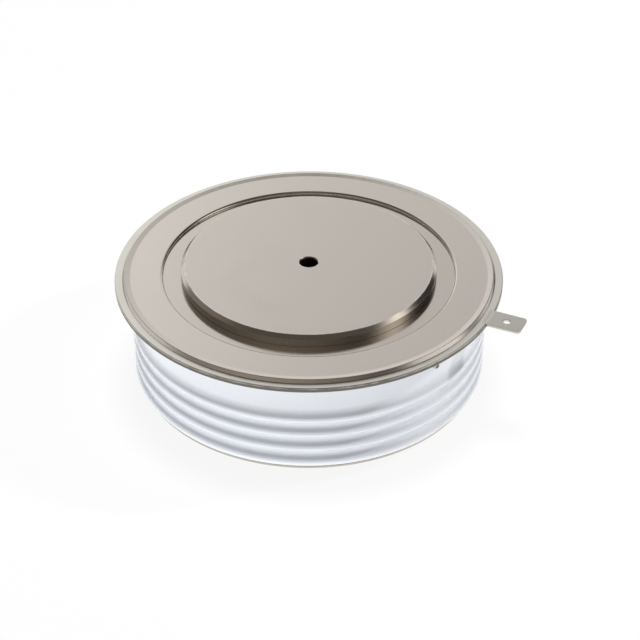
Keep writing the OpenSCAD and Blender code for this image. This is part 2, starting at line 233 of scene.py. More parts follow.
class Tree:
    """Adds nodes to one node tree and links them."""

    def __init__(self, tree: NodeTree) -> None:
        """Keeps the tree that the nodes go into."""
        self.tree = tree

    def feed(self, socket: Socket, value: Any) -> None:
        """Links a socket into an input, or sets the input to a constant."""
        if isinstance(value, Socket):
            self.tree.links.new(value, socket)
        else:
            socket.default_value = value

    def add(self, kind: str, inputs: Optional[dict[Any, Any]] = None, **settings: Any) -> Node:
        """Adds a node.

        Args:
            kind: Blender's name of the node type.
            inputs: Values or sockets for its inputs, by name or index.
            **settings: Properties of the node.

        Returns:
            The node.
        """
        node = self.tree.nodes.new(kind)
        for key, value in settings.items():
            setattr(node, key, value)
        for key, value in (inputs or {}).items():
            self.feed(node.inputs[key], value)
        return node

    def math(self, operation: str, *values: Any) -> Socket:
        """Adds a Math node and gives its result."""
        return self.add("ShaderNodeMath", dict(enumerate(values)), operation=operation).outputs[0]

    def times(self, first: Any, second: Any) -> Socket:
        """Multiplies two values."""
        return self.math("MULTIPLY", first, second)

    def plus(self, first: Any, second: Any) -> Socket:
        """Adds two values."""
        return self.math("ADD", first, second)

    def minus(self, first: Any, second: Any) -> Socket:
        """Takes the second value from the first."""
        return self.math("SUBTRACT", first, second)

    def rise(self, value: Any, low: Any, high: Any) -> Socket:
        """Gives a smooth step that goes from 0 at low to 1 at high."""
        node = self.add("ShaderNodeMapRange", {"Value": value, "From Min": low, "From Max": high},
                        interpolation_type="SMOOTHSTEP")
        return node.outputs["Result"]

    def blend(self, factor: Any, first: Any, second: Any, mode: str = "MIX") -> Socket:
        """Mixes two colours.

        Args:
            factor: Share of the second colour.
            first: First colour or socket.
            second: Second colour or socket.
            mode: Blend mode.

        Returns:
            The mixed colour.
        """
        node = self.add("ShaderNodeMix", data_type="RGBA", blend_type=mode)
        self.feed(node.inputs["Factor"], factor)
        for index, value in ((6, first), (7, second)):
            self.feed(node.inputs[index], value if isinstance(value, Socket) else (*value, 1.0))
        return node.outputs[2]

    def group(self, group: NodeTree, **values: Any) -> Any:
        """Places an effect group.

        Args:
            group: The effect group.
            **values: Values or sockets for the group's inputs.

        Returns:
            The outputs of the group node.
        """
        node = self.add("ShaderNodeGroup", node_tree=group)
        for key, value in values.items():
            self.feed(node.inputs[key], value)
        return node.outputs

    def noise(self, scale: Any, detail: Any, where: Optional[Socket] = None, warp: float = 0.0) -> Socket:
        """Adds a noise texture.

        Args:
            scale: Scale of the noise.
            detail: Number of its finer layers.
            where: Coordinates, or None for the object's own.
            warp: Distortion of the noise.

        Returns:
            The noise as a value.
        """
        if where is None:
            where = self.add("ShaderNodeTexCoord").outputs["Object"]
        inputs = {"Vector": where, "Scale": scale, "Detail": detail, "Distortion": warp}
        return self.add("ShaderNodeTexNoise", inputs).outputs[0]

    def tone(self, height: Socket, amount: Socket) -> Socket:
        """Turns a height round 0.5 into a tone round 1 with the given swing."""
        swing = self.times(self.minus(height, 0.5), amount)
        return self.plus(self.times(swing, 2.0), 1.0)

    def surface(self, shader: Node, color: Socket, rough: Socket, height: Socket) -> None:
        """Feeds colour, roughness and bump into a Principled shader.

        Args:
            shader: The shader.
            color: Its colour.
            rough: Its roughness.
            height: Height of its bump in millimetres.
        """
        bump = self.add("ShaderNodeBump", {"Height": height, "Distance": MM})
        for key, value in (("Base Color", color), ("Roughness", rough), ("Normal", bump.outputs[0])):
            self.feed(shader.inputs[key], value)


class Effects:
    """Effect groups that the finishes share."""

    def __init__(self) -> None:
        """Builds each group once."""
        self.polar = self.make_polar()
        self.grain = self.make_grain()
        self.turning = self.make_turning()
        self.edge = self.make_edge()
        self.zone = self.make_zone()
        self.smudge = self.make_smudge()

    @staticmethod
    def start(name: str, inputs: dict[str, float], outputs: Sequence[str]) -> tuple[Tree, Any, Any]:
        """Starts a group with named sockets.

        Args:
            name: Name of the group.
            inputs: Input names with their default values.
            outputs: Output names.

        Returns:
            The tree helper, the group's inputs and the group's outputs.
        """
        tree = bpy.data.node_groups.new(name, "ShaderNodeTree")
        for key, value in inputs.items():
            socket = tree.interface.new_socket(key, in_out="INPUT", socket_type=FLOAT_SOCKET)
            socket.default_value = value
        for key in outputs:
            tree.interface.new_socket(key, in_out="OUTPUT", socket_type=FLOAT_SOCKET)
        given = tree.nodes.new("NodeGroupInput").outputs
        result = tree.nodes.new("NodeGroupOutput").inputs
        return Tree(tree), given, result

    def make_polar(self) -> NodeTree:
        """Gives radius and height in millimetres, and the turn round the axis."""
        t, _, result = self.start("part_polar", {}, ("Radius", "Height", "Turn"))
        where = t.add("ShaderNodeTexCoord").outputs["Object"]
        part = t.add("ShaderNodeSeparateXYZ", {0: where}).outputs
        squares = t.plus(t.times(part[0], part[0]), t.times(part[1], part[1]))
        t.feed(result["Radius"], t.times(t.math("SQRT", squares), MM_PER_M))
        t.feed(result["Height"], t.times(part[2], MM_PER_M))
        t.feed(result["Turn"], t.math("DIVIDE", t.math("ARCTAN2", part[1], part[0]), 2 * math.pi))
        return t.tree

    def make_grain(self) -> NodeTree:
        """Gives fine grain of a size in millimetres as a height and as a tone round 1."""
        inputs = {"Size": 0.3, "Amount": 0.05, "Detail": 3.0}
        t, given, result = self.start("fine_grain", inputs, ("Height", "Tone"))
        grain = t.noise(t.math("DIVIDE", MM_PER_M, given["Size"]), given["Detail"])
        t.feed(result["Height"], grain)
        t.feed(result["Tone"], t.tone(grain, given["Amount"]))
        return t.tree

    def make_turning(self) -> NodeTree:
        """Gives concentric tool marks of a pitch in millimetres as a height and as a tone round 1."""
        t, given, result = self.start("turning_marks", {"Pitch": 0.15, "Amount": 0.05}, ("Height", "Tone"))
        polar = t.group(self.polar)
        along = t.math("DIVIDE", t.plus(polar["Radius"], polar["Height"]), given["Pitch"])
        round_part = t.times(t.math("SINE", t.times(polar["Turn"], 2 * math.pi)), 1.5)
        where = t.add("ShaderNodeCombineXYZ", {0: along, 1: round_part}).outputs[0]
        marks = t.noise(1.0, 2.0, where)
        t.feed(result["Height"], marks)
        t.feed(result["Tone"], t.tone(marks, given["Amount"]))
        return t.tree

    def make_edge(self) -> NodeTree:
        """Gives a broken line of worn edge and painted glint along one round edge."""
        inputs = {"Radius": 25.0, "Height": 0.0, "Width": 0.3, "Break": 0.5}
        t, given, result = self.start("edge_wear_and_glint", inputs, ("Mask",))
        polar = t.group(self.polar)
        across = t.minus(polar["Radius"], given["Radius"])
        upward = t.minus(polar["Height"], given["Height"])
        squares = t.plus(t.times(across, across), t.times(upward, upward))
        near = t.minus(1.0, t.rise(t.math("SQRT", squares), 0.0, given["Width"]))
        patches = t.noise(380.0, 4.0)
        kept = t.rise(patches, t.minus(given["Break"], 0.15), t.plus(given["Break"], 0.15))
        t.feed(result["Mask"], t.times(near, kept))
        return t.tree

    def make_zone(self) -> NodeTree:
        """Gives a soft mask of the ring between two radii and two heights."""
        inputs = {"Inner": 0.0, "Outer": 10.0, "Low": 0.0, "High": 10.0, "Soft": 0.3, "Uneven": 0.2}
        t, given, result = self.start("ring_zone", inputs, ("Mask",))
        polar = t.group(self.polar)
        uneven = t.noise(260.0, 3.0)
        shift = t.times(t.minus(uneven, 0.5), given["Uneven"])
        radius = t.plus(polar["Radius"], shift)
        height = t.plus(polar["Height"], shift)
        half = t.times(given["Soft"], 0.5)
        mask: Any = 1.0
        for value, low_name, high_name in ((radius, "Inner", "Outer"), (height, "Low", "High")):
            low = given[low_name]
            high = given[high_name]
            up = t.rise(value, t.minus(low, half), t.plus(low, half))
            down = t.rise(value, t.minus(high, half), t.plus(high, half))
            mask = t.times(mask, t.times(up, t.minus(1.0, down)))
        t.feed(result["Mask"], mask)
        return t.tree

    def make_smudge(self) -> NodeTree:
        """Gives soft patches from handling, of a size in millimetres."""
        t, given, result = self.start("handling_smudges", {"Size": 12.0, "Cover": 0.5}, ("Mask",))
        patches = t.noise(t.math("DIVIDE", MM_PER_M, given["Size"]), 4.0, warp=0.6)
        low = t.minus(0.9, given["Cover"])
        t.feed(result["Mask"], t.rise(patches, low, t.plus(low, 0.35)))
        return t.tree


@dataclass(frozen=True)
class Zone:
    """A ring-shaped area with its own tone on a finish.

    Attributes:
        inner: Inner radius.
        outer: Outer radius.
        low: Lowest height.
        high: Highest height.
        color: Colour in the area.
        weight: Share of that colour.
        roughness: Roughness that the area adds.
        soft: Width of the area's border.
        uneven: How far noise shifts the border.
    """

    inner: float
    outer: float
    low: float
    high: float
    color: Color
    weight: float
    roughness: float = 0.0
    soft: float = 0.3
    uneven: float = 0.2

    def mask(self, t: Tree, effects: Effects) -> Socket:
        """Places the area's mask in a material's tree."""
        given = t.group(effects.zone, Inner=self.inner, Outer=self.outer, Low=self.low, High=self.high,
                        Soft=self.soft, Uneven=self.uneven)
        return given["Mask"]


@dataclass(frozen=True)
class MetalFinish:
    """Satin metal with grain, tool marks, handling smudges, worn edges with painted glints, and toned zones,
    some of them painted shade and painted highlight.

    Attributes:
        name: Name of the material.
        tint: Colour of the clean metal.
        roughness: Its roughness.
        grain: Size of the grain.
        grain_tone: Swing of the colour in the grain.
        grain_height: Height of the grain in the bump.
        pitch: Pitch of the tool marks.
        pitch_tone: Swing of the colour in the tool marks.
        pitch_height: Height of the tool marks in the bump.
        wave_height: Height of the slow waves of a pressed sheet.
        wave: Size of those waves.
        smudge: Roughness that handling adds.
        edges: Round edges that are worn and carry a painted glint, as radius and height.
        edge_w: Width of that worn and glinting band.
        edge_share: Share of its colour.
        wear_and_glint: Lighter colour of a worn edge, which also paints the edge's glint.
        zones: Areas with their own tone, some of them painted shade and painted highlight.
    """

    name: str
    tint: Color
    roughness: float
    grain: float = 0.25
    grain_tone: float = 0.03
    grain_height: float = 0.0006
    pitch: float = 0.2
    pitch_tone: float = 0.02
    pitch_height: float = 0.0004
    wave_height: float = 0.0
    wave: float = 11.0
    smudge: float = 0.04
    edges: tuple[Point, ...] = ()
    edge_w: float = 0.35
    edge_share: float = 0.7
    wear_and_glint: Color = (0.78, 0.74, 0.68)
    zones: tuple[Zone, ...] = ()

    def build(self, effects: Effects) -> Material:
        """Makes the material.

        Args:
            effects: The shared effect groups.

        Returns:
            The material.
        """
        material, t, shader = start_material(self.name)
        grain = t.group(effects.grain, Size=self.grain, Amount=self.grain_tone)
        marks = t.group(effects.turning, Pitch=self.pitch, Amount=self.pitch_tone)
        smudge = t.group(effects.smudge, Size=14.0, Cover=0.45)["Mask"]
        tone = t.times(grain["Tone"], marks["Tone"])
        tone_color = t.add("ShaderNodeCombineColor", {0: tone, 1: tone, 2: tone}).outputs[0]
        color = t.blend(1.0, self.tint, tone_color, "MULTIPLY")
        rough = t.plus(t.times(smudge, self.smudge), self.roughness)
        for zone in self.zones:
            mask = zone.mask(t, effects)
            color = t.blend(t.times(mask, zone.weight), color, zone.color)
            rough = t.plus(rough, t.times(mask, zone.roughness))
        for radius, height in self.edges:
            mask = t.group(effects.edge, Radius=radius, Height=height, Width=self.edge_w)["Mask"]
            color = t.blend(t.times(mask, self.edge_share), color, self.wear_and_glint)
        rough = t.plus(rough, t.times(t.minus(grain["Height"], 0.5), 0.06))
        fine = t.times(grain["Height"], self.grain_height)
        cut = t.times(marks["Height"], self.pitch_height)
        height = t.plus(fine, cut)
        if self.wave_height:
            wave = t.group(effects.grain, Size=self.wave, Detail=0.0)["Height"]
            height = t.plus(height, t.times(wave, self.wave_height))
        t.surface(shader, color, rough, height)
        shader.inputs["Metallic"].default_value = 1.0
        return material


@dataclass(frozen=True)
class GlazeFinish:
    """White alumina under a clear glaze, with bare metallised ends.

    Attributes:
        name: Name of the material.
        tint: Colour of the ceramic.
        shade: Colour of its slightly darker patches.
        speck: Colour of its fine specks.
        roughness: Roughness of the ceramic.
        coat: Weight of the glaze.
        coat_roughness: Roughness of the glaze.
        zones: Metallised ends and other toned areas.
    """

    name: str
    tint: Color
    shade: Color
    speck: Color = (0.52, 0.5, 0.47)
    roughness: float = 0.32
    coat: float = 1.0
    coat_roughness: float = 0.05
    zones: tuple[Zone, ...] = ()

    def build(self, effects: Effects) -> Material:
        """Makes the material.

        Args:
            effects: The shared effect groups.

        Returns:
            The material.
        """
        material, t, shader = start_material(self.name)
        cloud = t.group(effects.smudge, Size=9.0, Cover=0.5)["Mask"]
        specks = t.group(effects.grain, Size=0.45, Detail=2.0)["Height"]
        color = t.blend(t.times(cloud, 0.6), self.tint, self.shade)
        color = t.blend(t.times(t.rise(specks, 0.74, 0.8), 0.25), color, self.speck)
        rough = t.plus(t.times(cloud, 0.05), self.roughness)
        coat: Any = self.coat
        for zone in self.zones:
            mask = zone.mask(t, effects)
            color = t.blend(t.times(mask, zone.weight), color, zone.color)
            rough = t.plus(rough, t.times(mask, zone.roughness))
            coat = t.times(coat, t.minus(1.0, mask))
        peel = t.group(effects.grain, Size=1.6, Detail=1.0)["Height"]
        pores = t.group(effects.grain, Size=0.2, Detail=2.0)["Height"]
        height = t.plus(t.times(peel, 0.006), t.times(pores, 0.0006))
        t.surface(shader, color, rough, height)
        t.feed(shader.inputs["Coat Weight"], coat)
        shader.inputs["Coat Roughness"].default_value = self.coat_roughness
        return material


@dataclass(frozen=True)
class SoftFinish:
    """Rubber, polymer or crystal with mottled colour, grain and fine tool marks.

    Attributes:
        name: Name of the material.
        tint: Main colour.
        shade: Colour of the mottling.
        roughness: Roughness.
        grain: Size of the grain.
        bump: Height of the grain.
        pitch: Pitch of the tool marks.
    """

    name: str
    tint: Color
    shade: Color
    roughness: float
    grain: float = 0.4
    bump: float = 0.004
    pitch: float = 0.3

    def build(self, effects: Effects) -> Material:
        """Makes the material.

        Args:
            effects: The shared effect groups.

        Returns:
            The material.
        """
        material, t, shader = start_material(self.name)
        cloud = t.group(effects.smudge, Size=5.0, Cover=0.5)["Mask"]
        grain = t.group(effects.grain, Size=self.grain)["Height"]
        marks = t.group(effects.turning, Pitch=self.pitch)["Height"]
        color = t.blend(cloud, self.tint, self.shade)
        height = t.times(t.plus(grain, marks), self.bump)
        rough = t.plus(t.times(grain, 0.1), self.roughness)
        t.surface(shader, color, rough, height)
        return material


def start_material(name: str) -> tuple[Material, Tree, Node]:
    """Starts a material with a Principled shader.

    Args:
        name: Name of the material.

    Returns:
        The material, a helper for its tree, and the shader node.
    """
    material = bpy.data.materials.new(name)
    material.use_nodes = True
    return material, Tree(material.node_tree), material.node_tree.nodes["Principled BSDF"]


@dataclass
class FlangeSheet:
    """Section of a pressed sheet that steps up from a low inner part to a high outer part.

    Attributes:
        inner: Radius of the bore.
        bend_start: Radius where the joggle starts.
        low_top: Height of the inner part's upper side.
        shift: Height of the joggle.
        thickness: Thickness of the sheet.
        bend: Bend radius at the middle of the sheet.
    """

    inner: float
    bend_start: float
    low_top: float
    shift: float
    thickness: float = 0.5
    bend: float = 0.75

    def section(self, outer_end: Section) -> Section:
        """Gives the closed section with the given outline at its outer end."""
        half = self.thickness / 2
        turn = math.degrees(math.acos(1 - self.shift / (2 * self.bend)))
        run = 2 * self.bend * math.sin(math.radians(turn))
        middle = self.low_top - half
        low = (self.bend_start, middle + self.bend)
        high = (self.bend_start + run, middle + self.shift - self.bend)
        return (
            [(self.inner, self.low_top)]
            + arc(low, self.bend - half, -90, turn - 90, 10)
            + arc(high, self.bend + half, turn + 90, 90, 14)
            + outer_end
            + arc(high, self.bend - half, 90, turn + 90, 10)
            + arc(low, self.bend + half, turn - 90, -90, 14)
            + [(self.inner, self.low_top - self.thickness)]
        )


@dataclass
class CathodeSide:
    """Upper pole piece, its pressed flange with the weld bead, and the weld ring with the tab."""

    face_z: float = 26.0
    pole_r: float = 25.0
    pole_chamfer: float = 0.7
    shoulder_r: float = 26.2
    seat_z: float = 23.2
    contact_r: float = 21.5
    contact_z: float = 12.5
    neck_h: float = 3.5
    taper_h: float = 2.6
    chamfer: float = 0.5
    hole_r: float = 1.75
    hole_depth: float = 2.5
    hole_chamfer: float = 0.2
    hole_cone: float = 1.05
    recess_r: float = 4.5
    recess_top: float = 20.0
    plateau_z: float = 24.35
    lip_start: float = 34.95
    lip_crest: float = 36.0
    lip_end: float = 36.486
    lip_rise: float = 0.18
    lip_turn: float = 0.12
    lip_lean: float = 56.5
    lip_foot: float = 0.05
    ripple: float = 0.012
    ripple_from: float = 0.05
    ripple_fine: float = 34.0
    ripple_slow: float = 5.0
    ring_z: float = 22.9
    ring_t: float = 0.95
    ring_bore: float = 30.186
    rim_r: float = 37.986
    ring_edge: float = 0.2
    tab_w: float = 4.8
    tab_t: float = 0.5
    tab_tip: float = 44.586
    tab_root: float = 1.0
    tab_corner: float = 0.8
    tab_hole_x: float = 41.186
    tab_hole_r: float = 0.7
    tab_hole_steps: int = 40
    tab_edge: float = 0.06
    sheet: FlangeSheet = field(default_factory=lambda: FlangeSheet(25.05, 28.5, 23.7, 0.65, bend=0.3))

    def pole_section(self) -> Section:
        """Gives the pole's section from the drill cone round to the roof of the gate recess."""
        wall_end = self.face_z - self.hole_depth
        taper_z = self.contact_z + self.neck_h
        return [
            (0.0, wall_end - self.hole_cone), (self.hole_r, wall_end),
            (self.hole_r, self.face_z - self.hole_chamfer), (self.hole_r + self.hole_chamfer, self.face_z),
            (self.pole_r - self.pole_chamfer, self.face_z), (self.pole_r, self.face_z - self.pole_chamfer),
            (self.pole_r, self.seat_z), (self.shoulder_r, self.seat_z),
            (self.shoulder_r, taper_z + self.taper_h), (self.contact_r, taper_z),
            (self.contact_r, self.contact_z + self.chamfer), (self.contact_r - self.chamfer, self.contact_z),
            (self.recess_r, self.contact_z), (self.recess_r, self.recess_top), (0.0, self.recess_top),
        ]

    def lip_ripple(self, angle: float, radius: float, height: float) -> Point:
        """Shifts the welded lip's crown a little, as a weld runs.

        Args:
            angle: Angle round the axis in radians.
            radius: Radius of the point.
            height: Height of the point.

        Returns:
            The shift of radius and height.
        """
        crown = (height - self.plateau_z) / self.lip_rise
        if radius < self.lip_start or crown < self.ripple_from:
            return 0.0, 0.0
        fine = noise.noise(Vector((math.cos(angle), math.sin(angle), 0.0)) * self.ripple_fine)
        slow = noise.noise(Vector((math.cos(angle), math.sin(angle), 2.0)) * self.ripple_slow)
        return 0.0, self.ripple * (fine + slow) * crown

    def flange_section(self) -> Section:
        """Gives the flange's section with the low welded lip at its outer edge."""
        start = (self.lip_start, self.plateau_z)
        crest = (self.lip_crest, self.plateau_z + self.lip_rise)
        foot = (self.lip_end, self.plateau_z - self.sheet.thickness + self.lip_foot)
        lip = [between(start, crest, i / 12) for i in range(13)]
        lip += arc((crest[0], crest[1] - self.lip_turn), self.lip_turn, 90, 90 - self.lip_lean, 8)[1:]
        top = lip[-1]
        lip += [between(top, foot, share) for share in (0.1, 0.5, 0.92, 1.0)]
        return self.sheet.section(lip + [(foot[0] - self.lip_foot, foot[1] - self.lip_foot)])

    def ring_mesh(self) -> Mesh:
        """Turns the weld ring and adds its tab.

        Returns:
            The mesh, in metres.
        """
        top = self.ring_z + self.ring_t
        outer = self.rim_r - self.ring_edge
        section = (
            [(self.ring_bore, self.ring_z)]
            + arc((outer, self.ring_z + self.ring_edge), self.ring_edge, -90, 0, 6)
            + arc((outer, top - self.ring_edge), self.ring_edge, 0, 90, 6)
            + [(self.ring_bore, top)]
        )
        lathe = Lathe(segments=480)
        ring = lathe.mesh("weld_ring_with_tab", section, True)
        work = bmesh.new()
        work.from_mesh(ring)
        tab = self.tab_mesh(top)
        work.from_mesh(tab)
        work.to_mesh(ring)
        work.free()
        bpy.data.meshes.remove(tab)
        smooth(ring, lathe.sharp)
        return ring

    def tab_mesh(self, top: float) -> Mesh:
        """Makes the flat tab with its hole and slightly rounded edges.

        Args:
            top: Height of the tab's upper side.

        Returns:
            The mesh, in metres.
        """
        half = self.tab_w / 2
        turn = (self.tab_tip - self.tab_corner, half - self.tab_corner)
        root = self.rim_r - self.tab_root
        corner = arc(turn, self.tab_corner, 0, 90, 10)
        outline = corner + [(root, half), (root, -half)] + [(x, -y) for x, y in reversed(corner)]
        last = self.tab_hole_steps - 1
        hole = arc((self.tab_hole_x, 0.0), self.tab_hole_r, 0, 360 * last / self.tab_hole_steps, last)
        curve = bpy.data.curves.new("tab_outline", "CURVE")
        curve.dimensions = "2D"
        curve.fill_mode = "BOTH"
        curve.extrude = (self.tab_t / 2 - self.tab_edge) * MM
        curve.bevel_depth = self.tab_edge * MM
        curve.bevel_resolution = 2
        curve.offset = -self.tab_edge * MM
        for points in (outline, hole):
            spline = curve.splines.new("POLY")
            spline.points.add(len(points) - 1)
            for target, (x, y) in zip(spline.points, points):
                target.co = (x * MM, y * MM, 0.0, 1.0)
            spline.use_cyclic_u = True
        holder = bpy.data.objects.new("tab_outline", curve)
        mesh = bpy.data.meshes.new_from_object(holder)
        bpy.data.objects.remove(holder)
        bpy.data.curves.remove(curve)
        mesh.transform(Matrix.Translation((0.0, 0.0, (top - self.tab_t / 2) * MM)))
        return mesh

    def build(self, finishes: Finishes) -> None:
        """Makes the three pieces and dresses them."""
        pole = Lathe().mesh("cathode_pole", self.pole_section(), False)
        place_piece(pole, finishes, Slot.POLE, "cathode_pole_piece")
        section = self.flange_section()
        sheet = Lathe(segments=720).mesh("cathode_sheet", section, True, wobble=self.lip_ripple)
        place_piece(sheet, finishes, Slot.FLANGE, "cathode_flange")
        place_piece(self.ring_mesh(), finishes, Slot.RIM, "upper_weld_ring")


@dataclass
class CeramicBody:
    """Glazed ceramic ring with a plain band above its ribs."""

    bore: float = 29.486
    crest: float = 34.986
    foot_z: float = 2.45
    top_z: float = 22.9
    ribs: int = 4
    pitch: float = 3.3
    depth: float = 0.8
    band_round: float = 2.4
    chamfer: float = 0.3

    def section(self) -> Section:
        """Gives the closed section, from the foot over the ribs to the plain band."""
        radius = ((self.pitch / 2) ** 2 + self.depth ** 2) / (4 * self.depth)
        sweep = math.degrees(math.asin(self.pitch / 4 / radius))
        band = math.degrees(math.acos(1 - self.depth / (radius + self.band_round)))
        foot = math.degrees(math.asin(self.chamfer / radius))
        band_r = self.crest - self.depth
        crest_at = self.crest - radius
        groove_at = band_r + radius
        crest_z = self.foot_z + self.pitch / 2
        points: Section = [(self.bore, self.foot_z), (band_r - self.chamfer, self.foot_z)]
        points += arc((groove_at, self.foot_z), radius, 180 - foot, 180 - sweep, 8)
        for _ in range(self.ribs - 1):
            points += arc((crest_at, crest_z), radius, -sweep, sweep, 16)[1:]
            points += arc((groove_at, crest_z + self.pitch / 2), radius, 180 + sweep, 180 - sweep, 16)[1:]
            crest_z += self.pitch
        points += arc((crest_at, crest_z), radius, -sweep, band, 16)[1:]
        rise = (radius + self.band_round) * math.sin(math.radians(band))
        points += arc((band_r + self.band_round, crest_z + rise), self.band_round, 180 + band, 180, 10)[1:]
        points += [(band_r, self.top_z - self.chamfer), (band_r - self.chamfer, self.top_z)]
        return points + [(self.bore, self.top_z)]

    def build(self, finishes: Finishes) -> None:
        """Makes the ring and dresses it."""
        mesh = Lathe().mesh("ceramic_body", self.section(), True)
        place_piece(mesh, finishes, Slot.GLAZE, "ceramic_ring")


@dataclass
class AnodeSide:
    """Lower pole piece and its pressed flange."""

    pole_r: float = 25.0
    pole_chamfer: float = 0.7
    shoulder_r: float = 26.2
    seat_z: float = 3.05
    ledge_z: float = 7.5
    pole_h: float = 9.0
    chamfer: float = 0.5
    hole_r: float = 1.75
    hole_depth: float = 2.5
    hole_cone: float = 1.05
    edge_r: float = 33.986
    edge_round: float = 0.1
    sheet: FlangeSheet = field(default_factory=lambda: FlangeSheet(25.05, 28.2, -2.55, 0.6))

    def pole_section(self) -> Section:
        """Gives the pole's section from the drill cone round to its upper side."""
        return [
            (0.0, self.hole_depth + self.hole_cone), (self.hole_r, self.hole_depth), (self.hole_r, 0.0),
            (self.pole_r - self.pole_chamfer, 0.0), (self.pole_r, self.pole_chamfer),
            (self.pole_r, self.seat_z), (self.shoulder_r, self.seat_z), (self.shoulder_r, self.ledge_z),
            (self.pole_r, self.ledge_z), (self.pole_r, self.pole_h - self.chamfer),
            (self.pole_r - self.chamfer, self.pole_h), (0.0, self.pole_h),
        ]

    def flange_section(self) -> Section:
        """Gives the flange's section, the pressed sheet turned upside down."""
        high = self.sheet.low_top + self.sheet.shift
        low = high - self.sheet.thickness
        rounding = self.edge_round
        end = arc((self.edge_r - rounding, high - rounding), rounding, 90, 0, 4)
        end += arc((self.edge_r - rounding, low + rounding), rounding, 0, -90, 4)
        return [(r, -z) for r, z in self.sheet.section(end)]

    def build(self, finishes: Finishes) -> None:
        """Makes the two pieces and dresses them."""
        pole = Lathe().mesh("anode_pole", self.pole_section(), False)
        place_piece(pole, finishes, Slot.POLE, "anode_pole_piece")
        flange = Lathe().mesh("anode_sheet", self.flange_section(), True)
        place_piece(flange, finishes, Slot.FLANGE, "anode_flange")


@dataclass(frozen=True)
class Sleeve:
    """A short tube along the gate's direction, rounded at its outer end."""

    name: str
    node: str
    bore: float
    radius: float
    start: float
    tip: float
    rounding: float


@dataclass
class GateTerminal:
    """Feedthrough tube and the collar round it, at the gate's angle."""

    angle: float = -24.5
    height: float = 21.1
    sleeves: tuple[Sleeve, ...] = (
        Sleeve("gate_tube", "gate_feedthrough_tube", 0.4, 0.65, 29.186, 36.486, 0.1),
        Sleeve("gate_collar", "gate_tube_collar", 0.7, 1.2, 34.0, 34.586, 0.15),
    )

    def place(self) -> Matrix:
        """Gives the matrix from an upright form to the gate's direction."""
        turn = Matrix.Rotation(math.radians(self.angle), 4, "Z")
        lay = Matrix.Rotation(math.radians(90), 4, "Y")
        return Matrix.Translation((0.0, 0.0, self.height * MM)) @ turn @ lay

    def build(self, finishes: Finishes) -> None:
        """Makes tube and collar and dresses them."""
        lathe = Lathe(segments=48, support=0.02)
        for part in self.sleeves:
            corner = (part.radius - part.rounding, part.tip - part.rounding)
            section = [(part.bore, part.start), (part.radius, part.start)]
            section += arc(corner, part.rounding, 0, 90, 5) + [(part.bore, part.tip)]
            place_piece(lathe.mesh(part.name, section, True, self.place()), finishes, Slot.RIM, part.node)


@dataclass
class InnerStack:
    """The pieces inside the capsule, which keep their solids and get their finishes."""

    slots: dict[str, Slot] = field(default_factory=lambda: {
        "anode_molybdenum_disc": Slot.MOLYBDENUM,
        "cathode_molybdenum_disc": Slot.MOLYBDENUM,
        "silicon_wafer": Slot.SILICON,
        "wafer_edge_rubber": Slot.RUBBER,
        "locating_ring": Slot.POLYMER,
        "gate_insulating_cup": Slot.POLYMER,
        "gate_pin_guide": Slot.POLYMER,
        "gate_lead_sleeve": Slot.POLYMER,
        "gate_contact_pin": Slot.GATE,
        "gate_spring": Slot.GATE,
        "gate_spring_washer": Slot.GATE,
        "gate_lead_wire": Slot.GATE,
    })

    def build(self, finishes: Finishes) -> None:
        """Assigns each solid its finish."""
        for node, slot in self.slots.items():
            for material_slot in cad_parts[node].material_slots:
                material_slot.material = finishes[slot]
            LOG.info("%s: solid kept, finish %s", node, slot.value)


